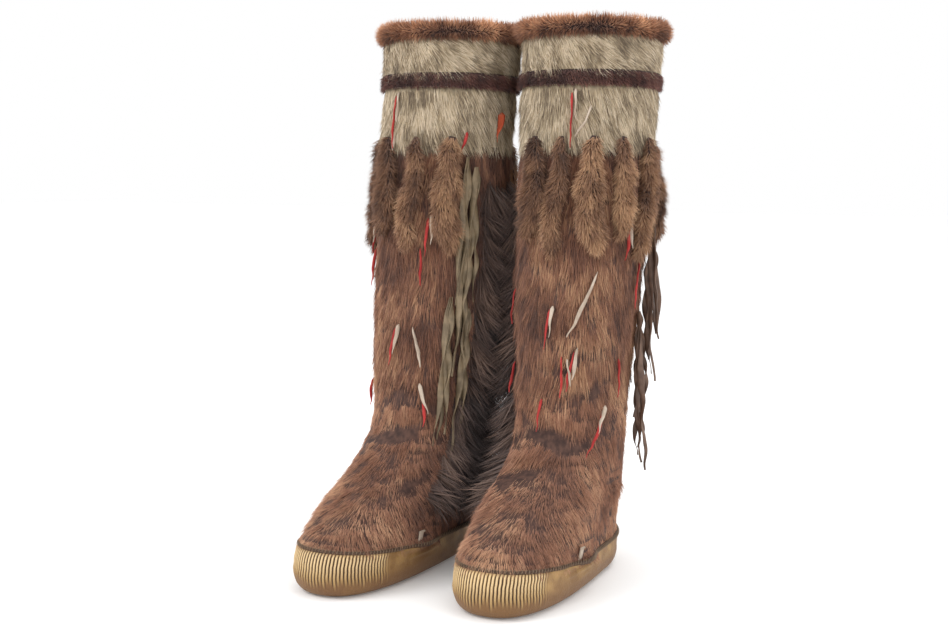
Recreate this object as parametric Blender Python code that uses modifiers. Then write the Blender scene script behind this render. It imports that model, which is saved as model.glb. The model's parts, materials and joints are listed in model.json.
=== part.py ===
"""A pair of tall fur boots of moccasin make, standing side by side.

Each boot is a crimped hide sole, a welt, a fur foot and leg, and a two-tone fur cuff with a rolled rim.
Fur strips hang from the cuff's seam, a hide fringe hangs down one leg seam, and yarn tassels lie on the leg.
Units are metres, +Z is up, and the toes point to -Y. The origin is on the ground, at the middle of the
pair's bounding box. Left and right are the wearer's.
"""

import math

import bmesh
import bpy
from mathutils import Matrix, Vector

# How finely the form is faceted
RING = 28
STEP = 2 * math.pi / RING

# The pair
BOOT_SPACING = 0.132
STAGGER = 0.016
TOE_OUT = math.radians(1.5)

# The form of one boot, measured from the leg's axis
TOE_REACH = 0.180
HEEL_REACH = 0.060
BALL_HALF_WIDTH = 0.0435
ANKLE_FRONT = 0.060
ANKLE_BACK = 0.050
ANKLE_HALF_WIDTH = 0.047
CALF_FRONT = 0.060
CALF_BACK = 0.064
CALF_HALF_WIDTH = 0.0545
CUFF_FRONT = 0.063
CUFF_BACK = 0.067
CUFF_HALF_WIDTH = 0.0605
BALL_SWELL = 0.38
SOLE_ROUND = 0.011
LEG_LEAN = math.radians(6.5)

# Heights of the form
SPREAD_HEIGHT = 0.020
INSTEP_HEIGHT = 0.122
CALF_HEIGHT = 0.300
CUFF_SEAM_HEIGHT = 0.363
LOWER_BAND = 0.050
STRIPE = 0.012
UPPER_BAND = 0.030
RIM_RADIUS = 0.0065
TOE_WALL = 0.036
SIDE_WALL = 0.026

# The ankle, where the leg skin folds
ANKLE_LOW = 0.074
ANKLE_HIGH = 0.152
ANKLE_PIVOT_HEIGHT = 0.104
VAMP_ANGLE = 6 * STEP

# Hide, fur and the room between them
HIDE = 0.0026
SKIN = 0.0036
SEAM = 0.0009
REST_GAP = 0.0004
# Edges at an upright seam or at the instep lean towards each other, by more in a thicker skin.
LEANING_SEAM = SKIN / 4
STRIPE_PROUD = 0.0015
WELT_RADIUS = 0.0013
INSOLE = 0.0045
INSOLE_MARGIN = 0.0035

# What hangs and lies on the boot
STRIP_RADIUS = 0.0055
STRIP_LENGTH = 0.095
STRIP_RISE = 0.006
FRINGE_RADIUS = 0.0017
FRINGE_LANE = 0.0042
TASSEL_RADIUS = 0.0013
TASSEL_LENGTH = 0.030
TAB_WIDTH = 0.005
TAB_HEIGHT = 0.012
TAB_THICKNESS = 0.0015
TAB_ANGLE = math.radians(62)

# Where things hang on each boot: angles in degrees round the leg, from the toe towards +X.
# A drop is a share of the way from the cuff's seam down to the ankle, and is negative on the cuff. The
# fringe gives each thong's drop and lane, and the tassels give each one's angle and drop.
BOOTS = (
    {
        "side": "right",
        "place": -1,
        "seam": 54,
        "strips": (-75, -24, 6, 36, 150, -165, -120),
        "fringe_length": 0.115,
        "fringe": ((0.05, -1), (0.09, 1), (0.34, 0), (0.62, -2), (0.67, 2)),
        "tassels": ((-18, -0.20), (21, 0.30), (-50, 0.30), (-4, 0.75)),
    },
    {
        "side": "left",
        "place": 1,
        "seam": 103,
        "strips": (-22, 2, 28, 53, 82, 140, -150),
        "fringe_length": 0.085,
        "fringe": ((0.22, -1), (0.32, 1), (0.48, 0), (0.67, -2), (0.85, 2)),
        "tassels": ((8, -0.20), (68, 0.30), (0, 0.65), (24, 0.81)),
    },
)

COLLECTION = "fur_boots"

SHAFT_TOP = CUFF_SEAM_HEIGHT + LOWER_BAND + STRIPE + UPPER_BAND
CONTACT = (
    TOE_REACH - SOLE_ROUND,
    HEEL_REACH - SOLE_ROUND,
    BALL_HALF_WIDTH - SOLE_ROUND,
    BALL_SWELL,
    2.5,
)
SPREAD = (TOE_REACH, HEEL_REACH, BALL_HALF_WIDTH, BALL_SWELL, 2.5)
ANKLE = (ANKLE_FRONT, ANKLE_BACK, ANKLE_HALF_WIDTH, 0.0, 2.15)
CALF = (CALF_FRONT, CALF_BACK, CALF_HALF_WIDTH, 0.0, 2.1)
CUFF = (CUFF_FRONT, CUFF_BACK, CUFF_HALF_WIDTH, 0.0, 2.1)


def blend(low, high, share):
    return [a + (b - a) * share for a, b in zip(low, high)]


def outline_at(height):
    """Toe reach, heel reach, half width, ball swell and squareness of the outline at a height."""
    if height < SPREAD_HEIGHT:
        short = 1 - max(height, 0.0) / SPREAD_HEIGHT
        return blend(CONTACT, SPREAD, math.sqrt(1 - short * short))
    if height < INSTEP_HEIGHT:
        rise = (height - SPREAD_HEIGHT) / (INSTEP_HEIGHT - SPREAD_HEIGHT)
        return blend(ANKLE, SPREAD, 0.5 + 0.5 * math.cos(math.pi * rise**1.1))
    if height < CALF_HEIGHT:
        rise = (height - INSTEP_HEIGHT) / (CALF_HEIGHT - INSTEP_HEIGHT)
        return blend(ANKLE, CALF, 0.5 - 0.5 * math.cos(math.pi * rise))
    rise = (height - CALF_HEIGHT) / (SHAFT_TOP - CALF_HEIGHT)
    return blend(CALF, CUFF, min(rise, 1.0))


def form(angle, height, proud=0.0):
    """A point of the boot's outer surface. The angle runs from the toe towards +X. The leg leans back."""
    toe, heel, half, swell, squareness = outline_at(height)
    power = 2 / squareness
    c, s = math.cos(angle), math.sin(angle)
    reach = (toe if c > 0 else heel) + proud
    x = (half + proud) * math.copysign(abs(s) ** power, s) * (1 + swell * c)
    y = -reach * math.copysign(abs(c) ** power, c)
    lean = max(height - ANKLE_PIVOT_HEIGHT, 0.0) * math.tan(LEG_LEAN)
    return Vector((x, y + lean, height))


def outward(angle, height):
    """The surface's unit normal there."""
    small = 0.01
    along = form(angle + small, height) - form(angle - small, height)
    up = form(angle, height + 0.001) - form(angle, height - 0.001)
    return along.cross(up).normalized()


def wall_top(angle):
    """Height of the hide wall, which is tallest at the toe."""
    toe_share = max(math.cos(angle), 0.0) ** 1.5
    return SIDE_WALL + (TOE_WALL - SIDE_WALL) * toe_share


def upper_foot(angle):
    """Height of the fur foot's lower edge. The skin's inner edge hangs lower where the toe slopes."""
    height = wall_top(angle) + 2 * (REST_GAP + WELT_RADIUS)
    return height + SKIN * max(outward(angle, height).z, 0.0)


def down_leg(drop):
    """The height at a drop, which is a share of the way from the cuff's seam to the ankle."""
    return CUFF_SEAM_HEIGHT - drop * (CUFF_SEAM_HEIGHT - ANKLE_HIGH)


def clear_scene():
    for old in list(bpy.data.objects):
        bpy.data.objects.remove(old)


def material(name, colour, roughness):
    made = bpy.data.materials.new(name)
    made.use_nodes = True
    surface = made.node_tree.nodes["Principled BSDF"]
    surface.inputs["Base Color"].default_value = (*colour, 1)
    surface.inputs["Roughness"].default_value = roughness
    return made


def place(obj, boot, finish):
    """Puts a finished piece in the collection, under its boot's empty."""
    obj.data.materials.append(finish)
    bpy.data.collections[COLLECTION].objects.link(obj)
    obj.parent = boot
    return obj


def shell(name, rows, closed_ring, thickness):
    """An open surface from rows of points, lowest first, thickened inwards."""
    mesh = bmesh.new()
    grid = [[mesh.verts.new(p) for p in row] for row in rows]
    last = len(grid[0]) if closed_ring else len(grid[0]) - 1
    for low, high in zip(grid, grid[1:]):
        for i in range(last):
            j = (i + 1) % len(low)
            mesh.faces.new((low[i], low[j], high[j], high[i]))
    data = bpy.data.meshes.new(name)
    mesh.to_mesh(data)
    mesh.free()
    data.shade_smooth()
    obj = bpy.data.objects.new(name, data)
    wall = obj.modifiers.new("wall", "SOLIDIFY")
    wall.thickness = thickness
    wall.offset = -1
    return obj


def ring_angles():
    return [i * STEP for i in range(RING)]


def band(name, low, high, rows, proud=0.0):
    """A ring of the boot's skin between two heights."""
    heights = [low + (high - low) * i / rows for i in range(rows + 1)]
    return shell(name, [[form(a, h, proud) for a in ring_angles()] for h in heights], True, SKIN)


def panel(name, start, stop, low, high, rows):
    """A piece of the boot's skin between two angles. low and high are heights, as functions of the angle."""
    columns = max(2, round((stop - start) / STEP))
    angles = [start + (stop - start) * i / columns for i in range(columns + 1)]
    grid = [[form(a, low(a) + (high(a) - low(a)) * j / rows) for a in angles] for j in range(rows + 1)]
    return shell(name, grid, False, SKIN)


def tube(name, points, radii, sides, closed_ring=False):
    """A round piece along a route: a curve object with a bevel."""
    data = bpy.data.curves.new(name, "CURVE")
    data.dimensions = "3D"
    data.bevel_depth = 1.0
    data.bevel_resolution = sides
    data.use_fill_caps = not closed_ring
    route = data.splines.new("POLY")
    route.points.add(len(points) - 1)
    for spot, point, radius in zip(route.points, points, radii):
        spot.co = (*point, 1)
        spot.radius = radius
    route.use_cyclic_u = closed_ring
    return bpy.data.objects.new(name, data)


def sole(name):
    """The hide sole: a flat bottom and a wall that turns up all round."""
    bottom = [[form(a, 0.0) * share for a in ring_angles()] for share in (0.04, 0.55, 1.0)]
    wall = []
    for share in (0.08, 0.22, 0.5, 0.78, 1.0):
        wall.append([form(a, wall_top(a) * share) for a in ring_angles()])
    made = shell(name, bottom + wall, True, HIDE)
    mesh = bmesh.new()
    mesh.from_mesh(made.data)
    mesh.verts.ensure_lookup_table()
    mesh.faces.new([mesh.verts[i] for i in reversed(range(RING))])
    mesh.to_mesh(made.data)
    mesh.free()
    return made


def insole(name):
    """A flat pad that lies on the sole's bottom, inside its wall."""
    data = bpy.data.curves.new(name, "CURVE")
    data.dimensions = "2D"
    data.fill_mode = "BOTH"
    data.extrude = INSOLE / 2
    edge = data.splines.new("POLY")
    edge.points.add(RING - 1)
    for spot, angle in zip(edge.points, ring_angles()):
        spot.co = (*form(angle, 0.0, -INSOLE_MARGIN).xy, 0, 1)
    edge.use_cyclic_u = True
    pad = bpy.data.objects.new(name, data)
    pad.location.z = HIDE + REST_GAP + INSOLE / 2
    return pad


def welt(name):
    """The thin strip sewn in between the hide wall and the fur foot."""
    points = []
    for angle in ring_angles():
        height = wall_top(angle) + REST_GAP + WELT_RADIUS
        points.append(form(angle, height, -SKIN / 2))
    return tube(name, points, [WELT_RADIUS] * RING, 1, closed_ring=True)


def rim(name):
    """The fur rim rolled over the cuff's top edge."""
    height = SHAFT_TOP + SEAM + RIM_RADIUS
    points = []
    for angle in ring_angles():
        spot = form(angle, SHAFT_TOP, -SKIN / 2)
        points.append((spot.x, spot.y, height))
    return tube(name, points, [RIM_RADIUS] * RING, 2, closed_ring=True)


def hang(angle, root, length, radii):
    """The route of a piece that hangs beside the leg and rests on it where the leg slopes out."""
    away = outward(angle, root)
    away = Vector((away.x, away.y, 0)).normalized()
    furthest = form(angle, root).dot(away)
    points = []
    for i, radius in enumerate(radii):
        spot = form(angle, root - length * i / (len(radii) - 1))
        reach = spot.dot(away)
        furthest = max(furthest, reach)
        points.append(spot + away * (furthest - reach + radius + REST_GAP))
    return points


def strip(name, angle):
    """A fur strip that hangs from the cuff's seam, thin where it is sewn on and at its tip."""
    radii = [STRIP_RADIUS * width for width in (0.45, 0.9, 1.0, 1.0, 1.0, 0.95, 0.4)]
    points = hang(angle, CUFF_SEAM_HEIGHT + STRIP_RISE, STRIP_LENGTH, radii)
    return tube(name, points, radii, 2)


def fringe(name, seam, root, lane, length):
    """One hide thong of the fringe. Neighbours hang in lanes beside each other."""
    side = lane * FRINGE_LANE / CALF_HALF_WIDTH
    radii = [FRINGE_RADIUS] * 8
    return tube(name, hang(seam + side, root, length, radii), radii, 1)


def tassel(name, angle, root):
    """A yarn tassel that lies down the leg."""
    points = []
    for i in range(5):
        height = root - TASSEL_LENGTH * i / 4
        points.append(form(angle, height) + outward(angle, height) * (TASSEL_RADIUS + REST_GAP))
    return tube(name, points, [TASSEL_RADIUS] * 5, 1)


def toe_tab(name, angle):
    """A small hide tab that stands at the corner of the crimped toe."""
    height = upper_foot(angle) + TAB_HEIGHT / 2
    away = outward(angle, height)
    along = Vector((0, 0, 1)).cross(away).normalized()
    up = away.cross(along)
    centre = form(angle, height) + away * (TAB_THICKNESS / 2 + REST_GAP)
    turn = Matrix((along, up, away)).transposed().to_4x4()
    mesh = bmesh.new()
    bmesh.ops.create_cube(mesh, size=1.0)
    bmesh.ops.scale(mesh, vec=(TAB_WIDTH, TAB_HEIGHT, TAB_THICKNESS), verts=mesh.verts)
    bmesh.ops.transform(mesh, matrix=Matrix.Translation(centre) @ turn, verts=mesh.verts)
    data = bpy.data.meshes.new(name)
    mesh.to_mesh(data)
    mesh.free()
    return bpy.data.objects.new(name, data)


def make_boot(plan, finishes):
    """All the pieces of one boot, under one empty that stands on the ground below the leg's axis."""
    side = plan["side"]
    boot = bpy.data.objects.new(side + "_boot", None)
    bpy.data.collections[COLLECTION].objects.link(boot)
    boot.location.x = plan["place"] * BOOT_SPACING / 2
    boot.location.y = plan["place"] * STAGGER / 2
    boot.rotation_euler.z = plan["place"] * TOE_OUT
    seam = math.radians(plan["seam"])
    gap = LEANING_SEAM / ANKLE_HALF_WIDTH
    turn = 2 * math.pi

    def add(obj, finish):
        return place(obj, boot, finishes[finish])

    def foot_top(angle):
        return ANKLE_LOW

    def shaft_low(angle):
        return ANKLE_HIGH + SEAM

    def shaft_high(angle):
        return CUFF_SEAM_HEIGHT - SEAM

    stripe_low = CUFF_SEAM_HEIGHT + LOWER_BAND + SEAM
    stripe_high = stripe_low + STRIPE - 2 * SEAM
    add(sole(side + "_sole"), "hide")
    add(insole(side + "_insole"), "felt")
    add(welt(side + "_welt"), "sinew")
    add(panel(side + "_vamp", -VAMP_ANGLE, VAMP_ANGLE, upper_foot, foot_top, 3), "brown_fur")
    add(panel(side + "_heel_quarter", VAMP_ANGLE + gap, turn - VAMP_ANGLE - gap, upper_foot, foot_top, 3), "brown_fur")
    add(band(side + "_ankle_skin", ANKLE_LOW + LEANING_SEAM, ANKLE_HIGH, 6), "brown_fur")
    add(panel(side + "_leg_front", seam - turn / 2 + gap, seam, shaft_low, shaft_high, 6), "brown_fur")
    add(panel(side + "_leg_back", seam + gap, seam + turn / 2, shaft_low, shaft_high, 6), "brown_fur")
    add(band(side + "_lower_cuff", CUFF_SEAM_HEIGHT, stripe_low - SEAM, 3), "cream_fur")
    add(band(side + "_cuff_stripe", stripe_low, stripe_high, 1, STRIPE_PROUD), "dark_fur")
    add(band(side + "_upper_cuff", stripe_high + SEAM, SHAFT_TOP, 2), "cream_fur")
    add(rim(side + "_rim"), "dark_fur")
    add(toe_tab(side + "_inner_tab", -plan["place"] * TAB_ANGLE), "white_hide")
    add(toe_tab(side + "_outer_tab", plan["place"] * TAB_ANGLE), "white_hide")
    for count, angle in enumerate(plan["strips"], 1):
        add(strip(f"{side}_fur_strip_{count}", math.radians(angle)), "brown_fur")
    for count, (drop, lane) in enumerate(plan["fringe"], 1):
        add(fringe(f"{side}_fringe_{count}", seam, down_leg(drop), lane, plan["fringe_length"]), "thong_hide")
    for count, (angle, drop) in enumerate(plan["tassels"], 1):
        add(tassel(f"{side}_tassel_{count}", math.radians(angle), down_leg(drop)), "red_yarn")
    return boot


def centre_on_ground(boots):
    """Moves both boots together, so that the origin is below the middle of the pair's box."""
    bpy.context.view_layer.update()
    graph = bpy.context.evaluated_depsgraph_get()
    spots = []
    for boot in boots:
        for piece in boot.children:
            shown = piece.evaluated_get(graph)
            spots += [shown.matrix_world @ corner.co for corner in shown.to_mesh().vertices]
            shown.to_mesh_clear()
    for axis in (0, 1):
        middle = (min(p[axis] for p in spots) + max(p[axis] for p in spots)) / 2
        for boot in boots:
            boot.location[axis] -= middle


def main():
    clear_scene()
    bpy.context.scene.collection.children.link(bpy.data.collections.new(COLLECTION))
    finishes = {
        "hide": material("hide", (0.62, 0.42, 0.18), 0.6),
        "felt": material("felt", (0.45, 0.40, 0.33), 0.9),
        "sinew": material("sinew", (0.20, 0.13, 0.08), 0.7),
        "brown_fur": material("brown_fur", (0.24, 0.13, 0.08), 0.8),
        "cream_fur": material("cream_fur", (0.62, 0.54, 0.40), 0.8),
        "dark_fur": material("dark_fur", (0.13, 0.07, 0.05), 0.8),
        "thong_hide": material("thong_hide", (0.20, 0.13, 0.09), 0.7),
        "red_yarn": material("red_yarn", (0.60, 0.05, 0.05), 0.8),
        "white_hide": material("white_hide", (0.75, 0.70, 0.60), 0.6),
    }
    centre_on_ground([make_boot(plan, finishes) for plan in BOOTS])


main()
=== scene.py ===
# %% [markdown]
# # A pair of tall fur boots with crimped hide soles
#
# Each boot has a soft sole of smoked hide, crimped round the toe, a foot and leg of
# sleek brown fur, a cuff of two cream bands with a dark sheared stripe between them,
# and a rolled fur rim. Strips of fluffy fur and a fringe of thongs hang round the leg,
# and short ends of red yarn and white hide stick out of the fur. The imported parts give
# every place and size. This lesson dresses them, from the sole up.

# %% Load the frame
import json
import math

import bmesh
import bpy
import numpy as np
from mathutils import Matrix, Vector, noise
from mathutils.bvhtree import BVHTree


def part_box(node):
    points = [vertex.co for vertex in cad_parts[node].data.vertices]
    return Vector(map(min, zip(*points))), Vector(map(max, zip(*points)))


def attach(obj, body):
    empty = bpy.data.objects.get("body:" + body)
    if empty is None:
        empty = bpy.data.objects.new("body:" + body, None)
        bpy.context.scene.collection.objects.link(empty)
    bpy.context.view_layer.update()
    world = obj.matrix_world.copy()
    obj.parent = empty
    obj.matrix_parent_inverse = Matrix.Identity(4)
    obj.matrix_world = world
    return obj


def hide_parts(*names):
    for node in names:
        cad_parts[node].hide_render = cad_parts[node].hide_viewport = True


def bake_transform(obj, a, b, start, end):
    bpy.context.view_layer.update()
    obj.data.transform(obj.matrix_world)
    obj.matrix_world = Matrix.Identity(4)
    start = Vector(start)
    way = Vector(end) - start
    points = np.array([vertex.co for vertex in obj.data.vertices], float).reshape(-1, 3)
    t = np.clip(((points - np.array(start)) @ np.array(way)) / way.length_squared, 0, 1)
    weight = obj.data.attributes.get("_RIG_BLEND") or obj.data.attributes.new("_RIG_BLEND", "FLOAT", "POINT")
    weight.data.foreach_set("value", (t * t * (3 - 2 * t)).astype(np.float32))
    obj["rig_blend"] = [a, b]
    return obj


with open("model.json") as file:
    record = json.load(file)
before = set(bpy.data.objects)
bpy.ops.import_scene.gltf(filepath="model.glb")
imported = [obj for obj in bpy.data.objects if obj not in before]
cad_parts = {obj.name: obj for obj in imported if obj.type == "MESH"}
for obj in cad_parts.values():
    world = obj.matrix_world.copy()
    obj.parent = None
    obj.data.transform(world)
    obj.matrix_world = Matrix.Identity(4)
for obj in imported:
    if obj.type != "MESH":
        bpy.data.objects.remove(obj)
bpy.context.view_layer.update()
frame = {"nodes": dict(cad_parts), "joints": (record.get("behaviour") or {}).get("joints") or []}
SIDES = ("right", "left")
ANKLES = {s: Vector(j["pos_m"]) for s in SIDES for j in frame["joints"] if j["name"] == s + "_ankle"}

# %% [markdown]
# ## The camera
#
# The pair stands toes forward and is seen from in front and a little to one side, from
# about knee height and just over a metre away. The camera is placed from the point
# midway between the two ankles. Its axes are worked out one by one and put in a matrix,
# which says more plainly what each turn does than three angles would.

# %% Camera
VIEW_ROUND = math.radians(26.3)
VIEW_DISTANCE = 1.165
VIEW_HEIGHT = 0.335
VIEW_DOWN = math.radians(5.93)
VIEW_ASIDE = math.radians(1.08)
VIEW_ROLL = math.radians(0.5)
LENS = 50.5

middle = (ANKLES["right"] + ANKLES["left"]) / 2
ahead = Vector((-math.sin(VIEW_ROUND), math.cos(VIEW_ROUND), 0))
right = Vector((math.cos(VIEW_ROUND), math.sin(VIEW_ROUND), 0))
up = Vector((0, 0, 1))
spot = Vector((middle.x, middle.y, VIEW_HEIGHT)) - ahead * VIEW_DISTANCE
for turn, axis in ((-VIEW_DOWN, "right"), (-VIEW_ROLL, "ahead"), (VIEW_ASIDE, "up")):
    spin = Matrix.Rotation(turn, 3, {"right": right, "ahead": ahead, "up": up}[axis])
    ahead, right, up = spin @ ahead, spin @ right, spin @ up
lens = bpy.data.cameras.new("camera")
lens.lens = LENS
camera = bpy.data.objects.new("camera", lens)
bpy.context.scene.collection.objects.link(camera)
camera.matrix_world = Matrix.Translation(spot) @ Matrix((right, up, -ahead)).transposed().to_4x4()
bpy.context.scene.camera = camera
print("camera", [round(x, 3) for x in spot])

# %% [markdown]
# ## Light and floor
#
# Fur shows best in broad, soft light with one side a little stronger, so that each lock
# has a lit and a shaded side. A white world fills the shadows, a large lamp in front on
# the left models the legs, and a second one behind lights the floor, which is plain and
# pale and reaches far past the view.

# %% Light and floor
world = bpy.data.worlds.new("studio")
world.use_nodes = True
world.node_tree.nodes["Background"].inputs["Color"].default_value = (1, 1, 1, 1)
world.node_tree.nodes["Background"].inputs["Strength"].default_value = 1.0
bpy.context.scene.world = world
bpy.context.scene.view_settings.view_transform = "Standard"


def lamp(name, place, aim, size, power):
    """A square soft lamp that faces a point."""
    data = bpy.data.lights.new(name, "AREA")
    data.size = size
    data.energy = power
    made = bpy.data.objects.new(name, data)
    bpy.context.scene.collection.objects.link(made)
    made.location = place
    made.rotation_euler = (Vector(aim) - Vector(place)).to_track_quat("-Z", "Y").to_euler()


lamp("key", (-1.5, -1.6, 2.0), (0, 0, 0.2), 1.3, 30)
lamp("top", (0.5, 0.9, 2.4), (0, 0.1, 0.0), 1.8, 20)
lamp("side", (2.2, -0.6, 1.1), (0, 0, 0.25), 1.2, 6)

# %% [markdown]
# ## Nodes written as sums
#
# Materials and Geometry Nodes are both trees of nodes. Writing them link by link hides
# what they work out, so one small class stands for an output, and Python's operators on
# it add the Math nodes. Its tree makes any other node from one method.


# %% Trees and outputs
class Output:
    """An output of a node. Python's operators on it add Math nodes to its tree."""

    def __init__(self, tree, socket):
        self.tree, self.socket = tree, socket

    def maths(self, operation, *values):
        return self.tree.node("ShaderNodeMath", {"operation": operation}, dict(enumerate(values)))

    def limited(self, low, high):
        """The value, but no lower and no higher than these."""
        raised = self.maths("MAXIMUM", self, low)
        return raised.maths("MINIMUM", raised, high)

    def __add__(self, other):
        return self.maths("ADD", self, other)

    def __sub__(self, other):
        return self.maths("SUBTRACT", self, other)

    def __rsub__(self, other):
        return self.maths("SUBTRACT", other, self)

    def __mul__(self, other):
        return self.maths("MULTIPLY", self, other)

    def __truediv__(self, other):
        return self.maths("DIVIDE", self, other)

    def __rtruediv__(self, other):
        return self.maths("DIVIDE", other, self)

    __radd__ = __add__
    __rmul__ = __mul__

    def also(self, name):
        """Another output of the same node."""
        return Output(self.tree, self.socket.node.outputs[name])


class Tree:
    """A node tree that is filled in by calls."""

    def __init__(self, tree):
        self.tree = tree

    def node(self, kind, settings=None, values=None, outlet=0):
        made = self.tree.nodes.new(kind)
        for name, value in (settings or {}).items():
            setattr(made, name, value)
        for key, value in (values or {}).items():
            if isinstance(value, Output):
                self.tree.links.new(value.socket, made.inputs[key])
            else:
                made.inputs[key].default_value = value
        return Output(self, made.outputs[outlet])

    def between(self, value, low, high, start=0.0, stop=1.0):
        """The value carried smoothly from low..high to start..stop, and no further."""
        return self.node(
            "ShaderNodeMapRange",
            {"interpolation_type": "SMOOTHSTEP"},
            {0: value, 1: low, 2: high, 3: start, 4: stop},
        )


# %% [markdown]
# ## Materials
#
# A finish is one Principled surface. Its colour comes from mixes of plain colours, its
# relief from one Bump node, and both follow noise that is read in the object's own
# metres, so that a grain of half a millimetre is half a millimetre everywhere.


# %% A finish
class Finish(Tree):
    """A material with its Principled surface, in a tree that is filled in by calls."""

    def __init__(self, name, roughness=0.7, sheen=0.0):
        self.material = bpy.data.materials.new(name)
        self.material.use_nodes = True
        super().__init__(self.material.node_tree)
        self.surface = self.tree.nodes["Principled BSDF"]
        self.surface.inputs["Roughness"].default_value = roughness
        self.surface.inputs["Sheen Weight"].default_value = sheen

    def feed(self, name, value):
        self.tree.links.new(value.socket, self.surface.inputs[name])

    def place(self, scale=(1, 1, 1)):
        """The point of the surface in metres, scaled along each axis."""
        spot = self.node("ShaderNodeTexCoord", outlet="Object")
        return self.node("ShaderNodeMapping", None, {0: spot, 3: scale})

    def noise(self, size, detail=3.0, stretch=(1, 1, 1)):
        """Soft noise from 0 to 1, in patches of that size in metres."""
        values = {"Vector": self.place(stretch), "Scale": 1 / size, "Detail": detail}
        return self.node("ShaderNodeTexNoise", None, values)

    def mix(self, first, second, share):
        """From the first colour to the second as the share goes from 0 to 1."""
        pair = [c if isinstance(c, Output) else (*c, 1) for c in (first, second)]
        return self.node(
            "ShaderNodeMix", {"data_type": "RGBA"}, {0: share, 6: pair[0], 7: pair[1]}, outlet=2
        )

    def ramp(self, share, stops):
        """A colour ramp through evenly spaced colours."""
        made = self.node("ShaderNodeValToRGB", None, {0: share})
        steps = made.socket.node.color_ramp.elements
        for i, colour in enumerate(stops):
            step = steps[i] if i < 2 else steps.new(1)
            step.position = i / (len(stops) - 1)
            step.color = (*colour, 1)
        return made

    def relief(self, height, depth):
        """Bumps the surface by a height from 0 to 1 times a depth in metres."""
        bump = self.node("ShaderNodeBump", None, {"Height": height, "Distance": depth})
        self.feed("Normal", bump)

    def attribute(self, name):
        return self.node("ShaderNodeAttribute", {"attribute_name": name}, outlet="Fac")


print("materials can be written as sums")

# %% [markdown]
# The floor gets the first finish: warm white with a trace of unevenness.

# %% Floor
floor_mesh = bpy.data.meshes.new("floor")
FLOOR_REACH = 12.0
corners = [(x, y, 0.0) for x, y in ((-1, -1), (1, -1), (1, 1), (-1, 1))]
floor_mesh.from_pydata([(x * FLOOR_REACH, y * FLOOR_REACH, z) for x, y, z in corners], [], [(0, 1, 2, 3)])
floor = bpy.data.objects.new("floor", floor_mesh)
bpy.context.scene.collection.objects.link(floor)
paper = Finish("floor_paper", roughness=0.9)
paper.surface.inputs["Emission Color"].default_value = (1, 1, 1, 1)
paper.surface.inputs["Emission Strength"].default_value = 0.07
paper.feed("Base Color", paper.mix((0.93, 0.93, 0.93), (0.95, 0.95, 0.95), paper.noise(0.4)))
floor_mesh.materials.append(paper.material)

# %% [markdown]
# ## The boot's outside, measured
#
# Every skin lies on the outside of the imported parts. Rays are cast inwards from all
# round at many heights, and each ring of hits is spread evenly along its own length from
# the toe. Averaging a few neighbours rounds off the parts' flat facets. A point of the
# boot is then given by its share of the way round, from the toe towards +X, and height.

# %% Measure the outside
RAYS = 360
COLUMNS = 256
ROUNDING = 9
FOOT_LEVEL, SHAFT_LEVEL = 0.05, 0.13
SEAM_DIP = 0.0009
OUTSIDE_PARTS = (
    "sole", "vamp", "heel_quarter", "ankle_skin", "leg_front", "leg_back", "lower_cuff", "upper_cuff"
)


def part_tree(side, names):
    """A search tree over copies of a boot's parts, with their loose triangles joined up."""
    joined = bmesh.new()
    for name in names:
        joined.from_mesh(frame["nodes"][f"{side}_{name}"].data)
    bmesh.ops.remove_doubles(joined, verts=joined.verts, dist=1e-6)
    tree = BVHTree.FromBMesh(joined)
    joined.free()
    return tree


def smoothed(values, width):
    """Each value of a closed ring averaged with its neighbours."""
    reach = width // 2
    return sum(np.roll(values, i, axis=0) for i in range(-reach, reach + 1)) / (2 * reach + 1)


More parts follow.
